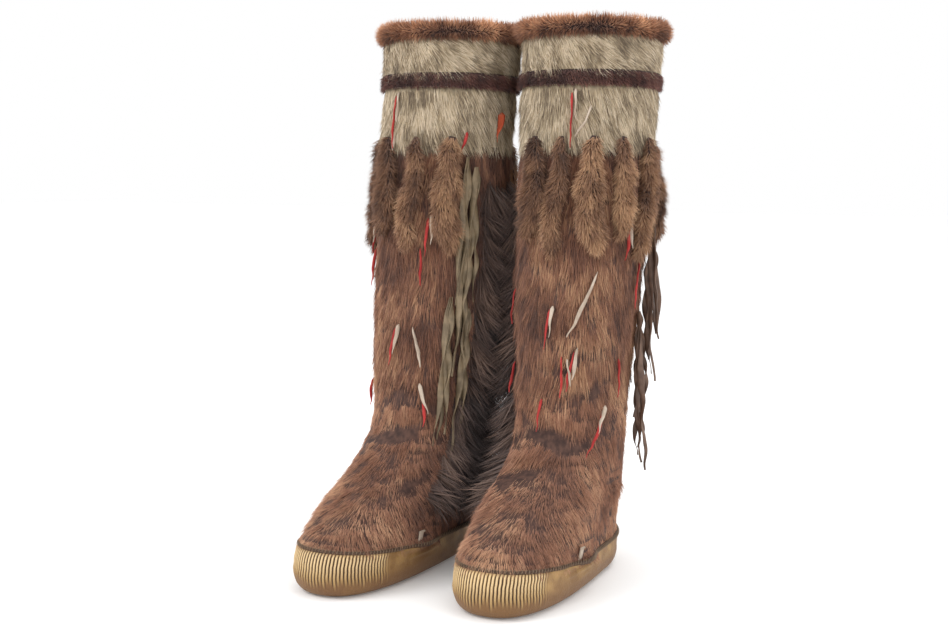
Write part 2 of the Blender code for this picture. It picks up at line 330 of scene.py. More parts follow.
class Outside:
    """The outer surface of one boot as a grid of points, row above row."""

    def __init__(self, side):
        self.tree = part_tree(side, OUTSIDE_PARTS)
        low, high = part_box(side + "_sole")
        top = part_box(side + "_upper_cuff")[1].z
        foot, ankle = (low + high) / 2, ANKLES[side]
        lean = (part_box(side + "_rim")[0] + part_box(side + "_rim")[1]) / 2 - ankle
        heights = np.concatenate([np.arange(0.0005, 0.16, 0.002), np.linspace(0.162, top - 0.0005, 60)])
        turn = np.arange(RAYS) * 2 * math.pi / RAYS
        reach, middles = [], []
        for height in heights:
            rise = min(max((height - FOOT_LEVEL) / (SHAFT_LEVEL - FOOT_LEVEL), 0.0), 1.0)
            above = max(height - ankle.z, 0.0) * lean.y / lean.z
            middle = Vector((ankle.x, foot.y + (ankle.y - foot.y) * rise + above, height))
            middles.append((middle.x, middle.y))
            reach.append([self.reach(middle, Vector((math.sin(t), -math.cos(t), 0))) for t in turn])
        reach, middles = np.array(reach), np.array(middles)
        full = (reach > 0.02).mean(1) > 0.5
        reach, self.heights, middles = reach[full], heights[full], middles[full]
        for row in reach:
            known = np.flatnonzero(row > 0.02)
            row[:] = np.interp(np.arange(RAYS), known, row[known], period=RAYS)
        # A ray that went into the gap of a seam came out too short: its row is bridged there.
        for _ in range(2):
            bridge = (reach[:-6] + reach[6:]) / 2
            inner = reach[3:-3]
            inner[:] = np.where(inner < bridge - SEAM_DIP, bridge, inner)
        ring = np.stack([np.sin(turn) * reach, -np.cos(turn) * reach], -1) + middles[:, None]
        rings = [np.column_stack([flat, np.full(RAYS, z)]) for flat, z in zip(ring, self.heights)]
        rows = [self.even(points) for points in rings]
        self.points = np.stack([smoothed(row, ROUNDING) for row in rows])

    def reach(self, middle, away):
        """How far the boot reaches from its middle in one direction."""
        hit = self.tree.ray_cast(middle + away * 0.4, -away)[0]
        return (hit - middle).dot(away) if hit else 0.0

    @staticmethod
    def even(ring):
        """The ring's points spread evenly along its length."""
        closed = np.vstack([ring, ring[:1]])
        steps = np.linalg.norm(np.diff(closed, axis=0), axis=1)
        along = np.concatenate([[0], np.cumsum(steps)])
        wanted = np.arange(COLUMNS) / COLUMNS * along[-1]
        return np.stack([np.interp(wanted, along, closed[:, k]) for k in range(3)], 1)

    def at(self, share, height):
        """Points of the surface, for arrays of shares round it and heights."""
        share, height = np.broadcast_arrays(np.asarray(share, float), np.asarray(height, float))
        column = (share % 1.0) * COLUMNS
        left = np.floor(column).astype(int) % COLUMNS
        across = (column - np.floor(column))[..., None]
        row = np.interp(height, self.heights, np.arange(len(self.heights)))
        below = np.minimum(np.floor(row).astype(int), len(self.heights) - 2)
        rise = (row - below)[..., None]
        beside = (left + 1) % COLUMNS
        low = self.points[below, left] * (1 - across) + self.points[below, beside] * across
        high = self.points[below + 1, left] * (1 - across) + self.points[below + 1, beside] * across
        found = low * (1 - rise) + high * rise
        found[..., 2] = height
        return found

    def away(self, share, height):
        """Unit normals of the surface at those points."""
        step = 0.004
        height = np.asarray(height, float)
        along = self.at(np.asarray(share) + step, height) - self.at(np.asarray(share) - step, height)
        low = np.clip(height - 0.002, 0.0005, None)
        rise = self.at(share, low + 0.004) - self.at(share, low)
        normal = np.cross(along, rise)
        return normal / np.linalg.norm(normal, axis=-1, keepdims=True)

    def girth(self, height):
        ring = self.at(np.arange(COLUMNS) / COLUMNS, height)
        return float(np.linalg.norm(np.diff(ring, axis=0), axis=1).sum())


BOOTS = {side: Outside(side) for side in SIDES}
print({side: round(boot.girth(0.3), 3) for side, boot in BOOTS.items()}, "metres round the calf")

# %% [markdown]
# ## Skins
#
# Under the fur lies the skin that carries it. It is a grid on the measured outside, let
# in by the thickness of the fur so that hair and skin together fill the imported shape. A
# few creases are pressed in where the ankle bends, and slow noise keeps it from looking
# turned on a lathe. Each point also stores which way its hair lies and how light it is.

# %% A skin on the outside
LET_IN = 0.0012
LEG_WAVE = 0.0016
WAVE_SIZE = 0.045
# Creases: share round the boot, height, half its length as a share, depth, and rise along it.
CREASES = {
    "right": (
        (0.98, 0.118, 0.10, 0.0021, 0.010),
        (0.05, 0.150, 0.08, 0.0012, -0.012),
        (0.10, 0.088, 0.06, 0.0012, 0.008),
    ),
    "left": (
        (0.955, 0.098, 0.085, 0.0028, 0.006),
        (0.03, 0.128, 0.11, 0.0018, -0.010),
        (0.10, 0.165, 0.08, 0.0012, 0.012),
    ),
}
CREASE_WIDTH = 0.0078


def pressed(side, share, height):
    """How far creases and waves move the skin in or out."""
    moved = np.zeros(np.broadcast(share, height).shape)
    for middle, level, reach, depth, rise in CREASES[side]:
        off = (share - middle + 0.5) % 1 - 0.5
        across = (height - level - rise * off / reach) / CREASE_WIDTH
        along = np.clip(1 - (off / reach) ** 2, 0, None)
        moved += depth * along * (0.55 * np.exp(-((np.abs(across) - 1.9) ** 2)) - np.exp(-(across**2)))
    return moved


def waves(points, size, seed):
    """Slow noise from -1 to 1 at each point."""
    flat = points.reshape(-1, 3) / size
    found = [noise.noise(Vector((x + seed, y, z))) for x, y, z in flat]
    return np.array(found).reshape(points.shape[:-1])


def grid_object(name, points, closed=True):
    """A mesh from rows of points, the lowest row first, with its faces outwards."""
    rows, columns = points.shape[:2]
    last = columns if closed else columns - 1
    faces = []
    for r in range(rows - 1):
        for c in range(last):
            d = (c + 1) % columns
            faces.append((r * columns + c, r * columns + d, (r + 1) * columns + d, (r + 1) * columns + c))
    mesh = bpy.data.meshes.new(name)
    mesh.from_pydata(points.reshape(-1, 3).tolist(), [], faces)
    mesh.shade_smooth()
    made = bpy.data.objects.new(name, mesh)
    bpy.context.scene.collection.objects.link(made)
    return made


def store(obj, name, values, kind="FLOAT"):
    """Stores a number or a vector at every point of a mesh."""
    made = obj.data.attributes.new(name, kind, "POINT")
    values = np.ascontiguousarray(values, np.float32).ravel()
    made.data.foreach_set("value" if kind == "FLOAT" else "vector", values)


def skin_points(side, low, high, rows, start=0.0, stop=1.0, columns=COLUMNS):
    """Shares, heights and points of a patch between two edges, given for each share."""
    closed = stop - start >= 1.0
    shares = start + (stop - start) * np.arange(columns) / (columns if closed else columns - 1)
    low, high = np.broadcast_to(low, columns), np.broadcast_to(high, columns)
    heights = low + (high - low) * np.linspace(0, 1, rows)[:, None]
    shares = np.broadcast_to(shares, heights.shape)
    boot = BOOTS[side]
    points, away = boot.at(shares, heights), boot.away(shares, heights)
    out = pressed(side, shares, heights) - LET_IN + LEG_WAVE * waves(points, WAVE_SIZE, 7.0)
    return shares, heights, points + away * out[..., None], away


def lying(away, shares, heights, lean, spread, seed):
    """The way hair lies: down the skin, turned sideways by a lean in degrees that wanders."""
    down = np.zeros_like(away)
    down[..., 2] = -1
    down -= away * (down * away).sum(-1, keepdims=True)
    down /= np.linalg.norm(down, axis=-1, keepdims=True)
    aside = np.cross(away, down)
    circle = shares * 2 * math.pi
    where = np.stack([np.sin(circle) * 0.06, np.cos(circle) * 0.06, heights], -1)
    turn = np.radians(lean + spread * waves(where, 0.035, seed))[..., None]
    return down * np.cos(turn) + aside * np.sin(turn)


# %% [markdown]
# ## Fur
#
# Blender can grow hair curves, but the parts must leave the scene as plain meshes, so
# each hair here is a very slim closed spike of four faces. Geometry Nodes scatter points
# over a skin, turn one spike at each point the way that the hair lies there, lift it a
# little and vary its length. Thousands of them lie over each other like real guard hair.
# Each spike also carries a flat map: how light the hair is across, and root to tip up it.

# %% The fur tree
HAIR_MAP = "OFBake"
HAIR_BAND = 0.006
ROOT_DEPTH = 0.0006


class Growth(Tree):
    """A Geometry Nodes tree with named inputs, used on one object at a time."""

    def __init__(self, name, inputs):
        super().__init__(bpy.data.node_groups.new(name, "GeometryNodeTree"))
        face = self.tree.interface
        face.new_socket("Geometry", in_out="INPUT", socket_type="NodeSocketGeometry")
        self.keys = {}
        for label, kind in inputs.items():
            socket = face.new_socket(label, in_out="INPUT", socket_type="NodeSocket" + kind)
            self.keys[label] = socket.identifier
        face.new_socket("Geometry", in_out="OUTPUT", socket_type="NodeSocketGeometry")
        self.start = self.tree.nodes.new("NodeGroupInput")
        self.end = self.tree.nodes.new("NodeGroupOutput")

    def given(self, name):
        return Output(self, self.start.outputs[name])

    def give(self, geometry):
        """Ends the tree with the material that it is given."""
        values = {"Geometry": geometry, "Material": self.given("finish")}
        finished = self.node("GeometryNodeSetMaterial", None, values)
        self.tree.links.new(finished.socket, self.end.inputs[0])

    def scaled(self, vector, factor):
        return self.node("ShaderNodeVectorMath", {"operation": "SCALE"}, {0: vector, "Scale": factor})

    def vector(self, operation, *values):
        return self.node("ShaderNodeVectorMath", {"operation": operation}, dict(enumerate(values)))

    def random(self, seed, low=0.0, high=1.0):
        """A random number for each point."""
        values = {2: low, 3: high, "Seed": seed}
        return self.node("FunctionNodeRandomValue", {"data_type": "FLOAT"}, values, outlet=1)

    def stored(self, name, kind="FLOAT"):
        return self.node("GeometryNodeInputNamedAttribute", {"data_type": kind}, {"Name": name})

    def grow(self, source, name, **sizes):
        """Runs the tree on an object and returns the result as a new plain mesh object."""
        modifier = source.modifiers.new("growth", "NODES")
        modifier.node_group = self.tree
        for size, value in sizes.items():
            modifier[self.keys[size.replace("_", " ")]] = value
        graph = bpy.context.evaluated_depsgraph_get()
        mesh = bpy.data.meshes.new_from_object(source.evaluated_get(graph))
        source.modifiers.remove(modifier)
        mesh.name = name
        for spare in [a.name for a in mesh.attributes if a.name in ("lie", "tone", "rise")]:
            mesh.attributes.remove(mesh.attributes[spare])
        made = bpy.data.objects.new(name, mesh)
        bpy.context.scene.collection.objects.link(made)
        return made


HAIR_SIZES = {"density": "Float", "length": "Float", "width": "Float", "lift": "Float",
              "tuft": "Float", "stray": "Float", "contrast": "Float", "seed": "Int", "finish": "Material"}
fur = Growth("fur", HAIR_SIZES)
seed, length, width = fur.given("seed"), fur.given("length"), fur.given("width")
roots = fur.node("GeometryNodeDistributePointsOnFaces", None,
                 {"Mesh": fur.given("Geometry"), "Density": fur.given("density"), "Seed": seed})
away = roots.also("Normal")
wander = {"Scale": 1 / fur.given("tuft"), "Detail": 1.0}
wander = fur.node("ShaderNodeTexNoise", None, wander, outlet="Color")
wander = fur.vector("SUBTRACT", wander, (0.5, 0.5, 0.5))
jitter = fur.node("FunctionNodeRandomValue", {"data_type": "FLOAT_VECTOR"},
                  {0: (-1, -1, -1), 1: (1, 1, 1), "Seed": seed + 1})
rise = fur.given("lift") * fur.random(seed + 2, 0.3, 1.7)
way = fur.vector("ADD", fur.stored("lie", "FLOAT_VECTOR"), fur.scaled(away, rise))
way = fur.vector("ADD", way, fur.scaled(wander, fur.given("stray")))
way = fur.vector("ADD", way, fur.scaled(jitter, 0.10))
turned = fur.node("FunctionNodeAxesToRotation", {"primary_axis": "Z", "secondary_axis": "X"},
                  {0: way, 1: fur.vector("ADD", away, fur.scaled(jitter, 0.35))})

# How light each hair is: the skin's own tone, streaks along the hair, and chance.
streak = fur.vector("MULTIPLY", fur.node("GeometryNodeInputPosition"), (1.0, 1.0, 0.35))
streak = fur.node("ShaderNodeTexNoise", None, {"Vector": streak, "Scale": 150.0, "Detail": 2.0})
tone = fur.stored("tone") + (streak - 0.5) * (2.2 * fur.given("contrast"))
tone = tone + (fur.random(seed + 3) - 0.5) * fur.given("contrast")
tone = tone.limited(0.02, 0.98)
planted = {"Geometry": roots, "Offset": fur.scaled(away, -ROOT_DEPTH)}
planted = fur.node("GeometryNodeSetPosition", None, planted)
planted = fur.node("GeometryNodeStoreNamedAttribute", {"data_type": "FLOAT", "domain": "POINT"},
                   {"Geometry": planted, "Name": "tone", "Value": tone})

# One hair is a spike of three sides and a base, one metre long until it is scaled.
spike = {"Vertices": 3, "Radius Top": 0.0, "Radius Bottom": 1.0, "Depth": 1.0}
spike = fur.node("GeometryNodeMeshCone", None, spike)
parts = fur.node("ShaderNodeSeparateXYZ", None, {0: fur.node("GeometryNodeInputPosition")})
ridge = parts.maths("MAXIMUM", parts, 0.0)
mapped = {0: parts.also("Y") * HAIR_BAND, 1: parts.also("Z") * 0.9 + ridge * 0.08 + 0.01}
mapped = fur.node("ShaderNodeCombineXYZ", None, mapped)
spike = fur.node("GeometryNodeStoreNamedAttribute", {"data_type": "FLOAT_VECTOR", "domain": "POINT"},
                 {"Geometry": spike, "Name": "rise", "Value": mapped})
size = {0: width * 0.3, 1: width * 0.58, 2: length * fur.random(seed + 4, 0.55, 1.25)}
size = fur.node("ShaderNodeCombineXYZ", None, size)
coat = fur.node("GeometryNodeInstanceOnPoints", None,
                {"Points": planted, "Instance": spike, "Rotation": turned, "Scale": size})
coat = fur.node("GeometryNodeRealizeInstances", None, {0: coat})
across = fur.node("ShaderNodeCombineXYZ", None, {0: fur.stored("tone")})
flat = fur.vector("ADD", across, fur.stored("rise", "FLOAT_VECTOR"))
coat = fur.node("GeometryNodeStoreNamedAttribute", {"data_type": "FLOAT2", "domain": "CORNER"},
                {"Geometry": coat, "Name": HAIR_MAP, "Value": flat})
fur.give(coat)
print("the fur tree has", len(fur.tree.nodes), "nodes")


# %% [markdown]
# The colour of a hair is read from its flat map. One ramp gives the colours at the roots,
# from the darkest hair to the lightest, and a second one gives the tips. Each kind of fur
# on the boot has its own pair of ramps.


# %% Fur colours
def coat_finish(name, roots, tips, roughness=0.6, sheen=0.15):
    """A fur finish: colours from dark hairs to light ones, at the roots and at the tips."""
    made = Finish(name, roughness, sheen)
    flat = made.node("ShaderNodeUVMap", {"uv_map": HAIR_MAP})
    axes = made.node("ShaderNodeSeparateXYZ", None, {0: flat})
    share = made.between(axes.also("Y"), 0.05, 0.75)
    made.feed("Base Color", made.mix(made.ramp(axes, roots), made.ramp(axes, tips), share))
    return made.material


LEG_ROOTS = (
    (0.037, 0.014, 0.009), (0.085, 0.032, 0.018), (0.152, 0.059, 0.031),
    (0.232, 0.103, 0.052), (0.390, 0.205, 0.107),
)
LEG_TIPS = (
    (0.073, 0.029, 0.017), (0.159, 0.063, 0.035), (0.262, 0.110, 0.060),
    (0.366, 0.178, 0.095), (0.610, 0.356, 0.202),
)
leg_hair = coat_finish("leg_hair", LEG_ROOTS, LEG_TIPS)
foot_hair = coat_finish(
    "foot_hair",
    (
        (0.053, 0.022, 0.014), (0.120, 0.048, 0.026), (0.203, 0.085, 0.045),
        (0.300, 0.138, 0.074), (0.465, 0.250, 0.141),
    ),
    (
        (0.105, 0.045, 0.027), (0.210, 0.088, 0.050), (0.345, 0.150, 0.083),
        (0.465, 0.237, 0.136), (0.675, 0.400, 0.238),
    ),
)
cream_hair = coat_finish(
    "cream_hair",
    (
        (0.127, 0.086, 0.049), (0.235, 0.171, 0.102), (0.353, 0.261, 0.156),
        (0.461, 0.351, 0.221), (0.549, 0.441, 0.295),
    ),
    (
        (0.196, 0.144, 0.094), (0.353, 0.270, 0.172), (0.510, 0.401, 0.262),
        (0.647, 0.531, 0.369), (0.764, 0.648, 0.492),
    ),
)
stripe_hair = coat_finish(
    "stripe_hair",
    (
        (0.020, 0.007, 0.006), (0.037, 0.012, 0.009), (0.056, 0.018, 0.014),
        (0.081, 0.027, 0.020), (0.125, 0.045, 0.033),
    ),
    (
        (0.044, 0.015, 0.012), (0.081, 0.027, 0.021), (0.125, 0.042, 0.031),
        (0.181, 0.070, 0.051), (0.275, 0.122, 0.086),
    ),
)
rim_hair = coat_finish(
    "rim_hair",
    (
        (0.044, 0.019, 0.014), (0.100, 0.043, 0.025), (0.180, 0.078, 0.042),
        (0.280, 0.129, 0.067), (0.400, 0.205, 0.114),
    ),
    (
        (0.120, 0.055, 0.035), (0.260, 0.111, 0.060), (0.440, 0.205, 0.108),
        (0.640, 0.332, 0.184), (0.920, 0.546, 0.315),
    ),
)
strip_hair = coat_finish(
    "strip_hair",
    (
        (0.036, 0.016, 0.009), (0.078, 0.034, 0.019), (0.137, 0.063, 0.032),
        (0.221, 0.109, 0.055), (0.338, 0.184, 0.095),
    ),
    (
        (0.098, 0.046, 0.027), (0.195, 0.092, 0.049), (0.305, 0.155, 0.084),
        (0.429, 0.236, 0.128), (0.624, 0.380, 0.209),
    ),
)

# Near-black shag colours: painted shade for the dark gap between the two boots.
shag_hair = coat_finish(
    "shag_hair",
    (
        (0.012, 0.007, 0.007), (0.022, 0.013, 0.012), (0.036, 0.020, 0.017),
        (0.060, 0.033, 0.027), (0.105, 0.058, 0.042),
    ),
    (
        (0.024, 0.015, 0.014), (0.042, 0.025, 0.022), (0.072, 0.042, 0.034),
        (0.125, 0.075, 0.058), (0.235, 0.145, 0.105),
    ),
)

# %% [markdown]
# The skin under the hair shows only as a shadow between locks on the outside. On the
# inside of the shaft it is the flesh side of the hide: pale, dry and faintly creased.


# %% Hide finishes under the fur
def under_hair(name, dark, light):
    """The finish of a skin's outside, which shows only between locks of hair."""
    made = Finish(name, 0.85)
    streaks = made.noise(0.004, 3.0, stretch=(1, 1, 0.25))
    made.feed("Base Color", made.mix(dark, light, made.between(streaks, 0.3, 0.7)))
    made.relief(streaks, 0.0006)
    return made.material


leg_under = under_hair("leg_under_hair", (0.035, 0.015, 0.011), (0.095, 0.045, 0.031))
cream_under = under_hair("cream_under_hair", (0.20, 0.155, 0.10), (0.42, 0.34, 0.23))
dark_under = under_hair("dark_under_hair", (0.018, 0.009, 0.008), (0.05, 0.024, 0.02))

flesh = Finish("flesh_side", 0.9, 0.1)
grain = flesh.noise(0.0022, 4.0)
patches = flesh.between(flesh.noise(0.035, 3.0), 0.35, 0.65)
flesh.feed("Base Color", flesh.mix((0.42, 0.33, 0.23), (0.60, 0.51, 0.38), patches * 0.7 + grain * 0.3))
flesh.relief(grain, 0.0005)
flesh = flesh.material
print("fur and skin finishes are ready")

# %% [markdown]
# ## Legs and feet
#
# A leg's skin runs from the ankle to the cuff and moves with the leg. A foot's skin runs
# from the seam over the sole up past the ankle, so it has to bend: its lower edge stays
# with the foot and its upper edge turns with the leg. The seam's height comes from the
# welt, whose ring of packed points is sorted round the boot.

# %% Levels
SKIN = 0.0036


def corner_points(node):
    """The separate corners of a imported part, as an array."""
    mesh = frame["nodes"][node].data
    found = np.empty(len(mesh.vertices) * 3, np.float32)
    mesh.vertices.foreach_get("co", found)
    return np.unique(np.round(found.reshape(-1, 3), 6), axis=0)


class Levels:
    """Heights that one boot's pieces meet at."""

    def __init__(self, side):
        corners = corner_points(side + "_welt")
        boot = BOOTS[side]
        ring = boot.at(np.arange(COLUMNS) / COLUMNS, 0.03)
        gaps = np.linalg.norm(corners[:, None, :2] - ring[None, :, :2], axis=2)
        share = gaps.argmin(1)
        known = np.unique(share)
        half = COLUMNS // 2
        mean = [corners[np.abs((share - k + half) % COLUMNS - half) <= 2, 2].mean() for k in known]
        self.welt = smoothed(np.interp(np.arange(COLUMNS), known, mean, period=COLUMNS), 13)
        self.welt_radius = 0.0013
        self.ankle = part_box(side + "_leg_front")[0].z
        self.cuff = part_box(side + "_lower_cuff")[0].z
        self.stripe, self.stripe_top = (corner.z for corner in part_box(side + "_cuff_stripe"))
        self.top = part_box(side + "_upper_cuff")[1].z

    def welt_at(self, share):
        column = np.asarray(share) * COLUMNS % COLUMNS
        return np.interp(column, np.arange(COLUMNS), self.welt, period=COLUMNS)


LEVELS = {side: Levels(side) for side in SIDES}
print({side: (round(float(l.welt.min()), 4), round(float(l.welt.max()), 4)) for side, l in LEVELS.items()})


# %% [markdown]
# Each skin is a grid between two of those levels, and gets its thickness inwards. Its hair
# grows on a bed, a finer bare sheet of the same shape that is then removed, so that no hair
# roots on the inside.


# %% Skins and their fur
def walled(obj, outer, inner, thickness=SKIN):
    """Gives a skin its thickness inwards, with the flesh side inside."""
    for finish in (outer, inner):
        obj.data.materials.append(finish)
    wall = obj.modifiers.new("wall", "SOLIDIFY")
    wall.thickness = thickness
    wall.offset = -1
    wall.material_offset = 1
    wall.material_offset_rim = 1
    graph = bpy.context.evaluated_depsgraph_get()
    solid = bpy.data.meshes.new_from_object(obj.evaluated_get(graph))
    obj.modifiers.clear()
    obj.data = solid
    return obj


ANKLE_BEND = (0.070, 0.1515)


def ankle_bend(side):
    """The two points between which a piece bends from the foot to the leg."""
    return [(ANKLES[side].x, ANKLES[side].y, height) for height in ANKLE_BEND]


def furred_skin(side, name, low, high, rows, hairs, tone, lean, spread, under, nodes, body, halves=1):
    """A skin with its coat of fur. Each half of the coat is one piece."""
    shares, heights, points, away = skin_points(side, low, high, rows)
    lie = lying(away, shares, heights, lean, spread, 3.0)
    light = tone(side, shares, heights, points)
    skin = grid_object(f"{side}_{name}_skin", points[::2, ::2])
    pieces = []
    for half in range(halves):
        columns = np.arange(half * COLUMNS // halves, (half + 1) * COLUMNS // halves + 1) % COLUMNS
        bed = grid_object("bed", points[:, columns], closed=False)
        store(bed, "lie", lie[:, columns], "FLOAT_VECTOR")
        store(bed, "tone", light[:, columns])
        label = f"{side}_{name}_fur" + (f"_{half + 1}" if halves > 1 else "")
        pieces.append(fur.grow(bed, label, **{**hairs, "seed": hairs["seed"] + half}))
        bpy.data.objects.remove(bed)
    walled(skin, under, flesh)
    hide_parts(*(f"{side}_{node}" for node in nodes))
    for piece in (skin, *pieces):
        if body == "ankle":
            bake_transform(piece, side + "_foot", side + "_leg", *ankle_bend(side))
        else:
            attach(piece, f"{side}_{body}")
    print(label, sum(len(p.data.polygons) for p in pieces), "faces of hair")
    return pieces


def patchy(points, size, seed):
    """Slow patches from about 0.3 to 0.7."""
    return 0.5 + 0.45 * waves(points, size, seed)


def leg_tone(side, shares, heights, points):
    """Warm brown in patches, with painted shade where the boots face each other and in the ankle creases."""
    inner = 0.25 if side == "right" else 0.75
    # Painted shade: the sides where the two boots face each other are darkened.
    facing = np.clip(np.cos((shares - inner) * 2 * math.pi), 0, 1) ** 2
    # Painted shade: the hair is darkened in the pressed ankle creases.
    crease_painted_shade = np.clip(-pressed(side, shares, heights) / 0.003, 0, 1)
    low = np.clip((0.30 - heights) / 0.15, 0, 1)
    wide = 1.05 * (patchy(points, 0.035, 11.0) - 0.5)
    return 0.45 + wide + 0.13 * low - 0.30 * facing - 0.05 * crease_painted_shade


def foot_tone(side, shares, heights, points):
    """As the leg, with a paler worn patch over the toes."""
    toes = np.exp(-(((shares + 0.5) % 1 - 0.5) / 0.10) ** 2) * np.clip((0.08 - heights) / 0.03, 0, 1)
    return leg_tone(side, shares, heights, points) + 0.16 * toes


def cream_tone(side, shares, heights, points):
    """Cream in front, greyer at the sides, which is painted shade."""
    # Painted shade: the cream is made darker as it turns from the front to the sides and back.
    front = 0.5 + 0.5 * np.cos((shares - 0.02) * 2 * math.pi)
    return 0.30 + 0.28 * front + 1.15 * (patchy(points, 0.02, 5.0) - 0.5)


SLEEK = {"length": 0.0150, "width": 0.00095, "lift": 0.11, "tuft": 0.012, "stray": 0.75, "contrast": 0.62}
FOOT_HAIR = {**SLEEK, "length": 0.0108, "width": 0.0008, "contrast": 0.44, "density": 820000,
             "seed": 11, "finish": foot_hair}
LEG_HAIR = {**SLEEK, "contrast": 0.54, "density": 890000, "seed": 21, "finish": leg_hair}
CREAM_HAIR = {**SLEEK, "width": 0.0010, "lift": 0.16, "contrast": 1.1, "density": 1100000,
              "finish": cream_hair}
STRIPE_GAP = 0.0008
for side in SIDES:
    levels = LEVELS[side]
    furred_skin(side, "foot", levels.welt + 0.0020, levels.ankle, 65, FOOT_HAIR, foot_tone, 0, 22,
                leg_under, ("vamp", "heel_quarter", "ankle_skin"), "ankle")
    furred_skin(side, "leg", levels.ankle, levels.cuff - 0.001, 61, LEG_HAIR, leg_tone, 0, 20,
                leg_under, ("leg_front", "leg_back"), "leg", halves=2)
    furred_skin(side, "lower_cuff", levels.cuff, levels.stripe - STRIPE_GAP, 19,
                {**CREAM_HAIR, "length": 0.0125, "seed": 31}, cream_tone, 18, 35,
                cream_under, ("lower_cuff",), "leg")
    furred_skin(side, "upper_cuff", levels.stripe_top + STRIPE_GAP, levels.top, 13,
                {**CREAM_HAIR, "length": 0.0110, "seed": 41}, cream_tone, 42, 25,
                cream_under, ("upper_cuff",), "leg")

# %% [markdown]
# ## Stripe
#
# The dark stripe is fur sheared to a short pile. The fur tree of the skins makes it, with
# a high lift and short hair.


# %% Stripe
def bed_fur(bed, name, lie, tone, hairs):
    """Grows one coat on a bed, and removes the bed."""
    store(bed, "lie", lie, "FLOAT_VECTOR")
    store(bed, "tone", tone)
    made = fur.grow(bed, name, **hairs)
    bpy.data.objects.remove(bed)
    return made


def dressed(piece, body, slot, *nodes):
    """Says what a finished piece moves with and which parts it stands for. Its slot, the name of its finish,
    is not used.
    """
    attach(piece, body)
    if nodes:
        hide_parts(*nodes)
    return piece


PILE = {"length": 0.0054, "width": 0.0009, "lift": 1.0, "tuft": 0.006, "stray": 1.1, "contrast": 0.6,
        "density": 1500000, "finish": stripe_hair}
STRIPE_PROUD = 0.0012
for side in SIDES:
    levels = LEVELS[side]
    shares, heights, points, away = skin_points(side, levels.stripe - 0.0006, levels.stripe_top + 0.0006, 8)
    points = points + away * STRIPE_PROUD
    band = grid_object(side + "_stripe_skin", points)
    bed = grid_object("bed", points)
    lie = lying(away, shares, heights, 25, 30, 9.0)
    coat = bed_fur(bed, side + "_stripe_fur", lie, patchy(points, 0.012, 2.0), {**PILE, "seed": 51})
    walled(band, dark_under, flesh)
    dressed(band, side + "_leg", "sheared_fur", side + "_cuff_stripe")
    dressed(coat, side + "_leg", "sheared_fur")

# %% [markdown]
# ## Rim
#
# The rim is a strip of fluffy fur rolled over the top edge. Its core is a ring of circles
# swept round the top of the shaft, a little uneven, and its hair stands out all round and
# is darker underneath, where little light comes.

# %% Rim
RIM_TURNS = 16
RIM_CORE = 0.72
FLUFFY = {"length": 0.0068, "width": 0.0009, "lift": 1.6, "tuft": 0.007, "stray": 1.6, "contrast": 0.5}


def tube_grid(path, radii, squash=1.0, flat=None, sides=RIM_TURNS, closed=False):
    """Rings of points round a path, lowest first, and the unit vectors that point away from it.

    Each ring is flattened along the direction flat, such as away from a leg."""
    path, radii = np.asarray(path, float), np.asarray(radii, float)[:, None]
    if closed:
        along = np.roll(path, -1, 0) - np.roll(path, 1, 0)
    else:
        along = np.gradient(path, axis=0)
    along /= np.linalg.norm(along, axis=1, keepdims=True)
    flat = np.broadcast_to(flat, path.shape)
    thin = flat - along * (flat * along).sum(1, keepdims=True)
    thin /= np.linalg.norm(thin, axis=1, keepdims=True)
    wide = np.cross(along, thin)
    turn = np.arange(sides) * 2 * math.pi / sides
    out = thin[:, None] * np.cos(turn)[:, None] * squash + wide[:, None] * np.sin(turn)[:, None]
    points = path[:, None] + out * radii[:, None]
    return points, out / np.linalg.norm(out, axis=-1, keepdims=True), along


def closed_body(name, points, finish, ring=False):
    """A closed mesh from rings of points. An open row of rings is capped at both ends."""
    rows, columns = points.shape[:2]
    if ring:
        points = np.concatenate([points, points[:1]])
    made = grid_object(name, points)
    joined = bmesh.new()
    joined.from_mesh(made.data)
    bmesh.ops.remove_doubles(joined, verts=joined.verts, dist=1e-7)
    if not ring:
        bmesh.ops.holes_fill(joined, edges=[e for e in joined.edges if e.is_boundary], sides=0)
    bmesh.ops.recalc_face_normals(joined, faces=joined.faces)
    joined.to_mesh(made.data)
    joined.free()
    made.data.materials.append(finish)
    return made


for side in SIDES:
    low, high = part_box(side + "_rim")
    radius = (high.z - low.z) / 2
    boot, top = BOOTS[side], LEVELS[side].top
    shares = np.arange(COLUMNS) / COLUMNS
    path = boot.at(shares, top - 0.001) - boot.away(shares, top - 0.004) * SKIN / 2
    path[:, 2] = top + radius * 0.85 + 0.0012 * waves(path, 0.02, 4.0)
    swell = radius * RIM_CORE * (1 + 0.16 * waves(path, 0.014, 8.0))
    points, out, _ = tube_grid(path, swell, 1.15, (0.0, 0.0, 1.0), closed=True)
    roll = closed_body(side + "_rim_core", points, dark_under, ring=True)
    under = 0.32 * np.clip(-out[..., 2], 0, 1)
    bed = grid_object("bed", np.concatenate([points, points[:1]]))
    lie = np.concatenate([out, out[:1]]) * 0.35 + np.array([0, 0, 0.15])
    tone = patchy(points, 0.02, 1.0) + 0.14 - 1.3 * under
    tone = np.concatenate([tone, tone[:1]])
    hairs = {**FLUFFY, "density": 1250000, "seed": 61, "finish": rim_hair}
    coat = bed_fur(bed, side + "_rim_fur", lie, tone, hairs)
    dressed(roll, side + "_leg", "rim_fur", side + "_rim")
    dressed(coat, side + "_leg", "rim_fur")
    print(side, "rim has", len(coat.data.polygons), "faces of hair")

# %% [markdown]
# ## Fur strips
#
# Seven strips of fluffy fur hang from the seam below the cuff of each boot, and each one
# swings on its own stitch. A packed strip gives the route. The strip wanders a little
# sideways off it, as cut fur does, and its core is wider than it is thick.


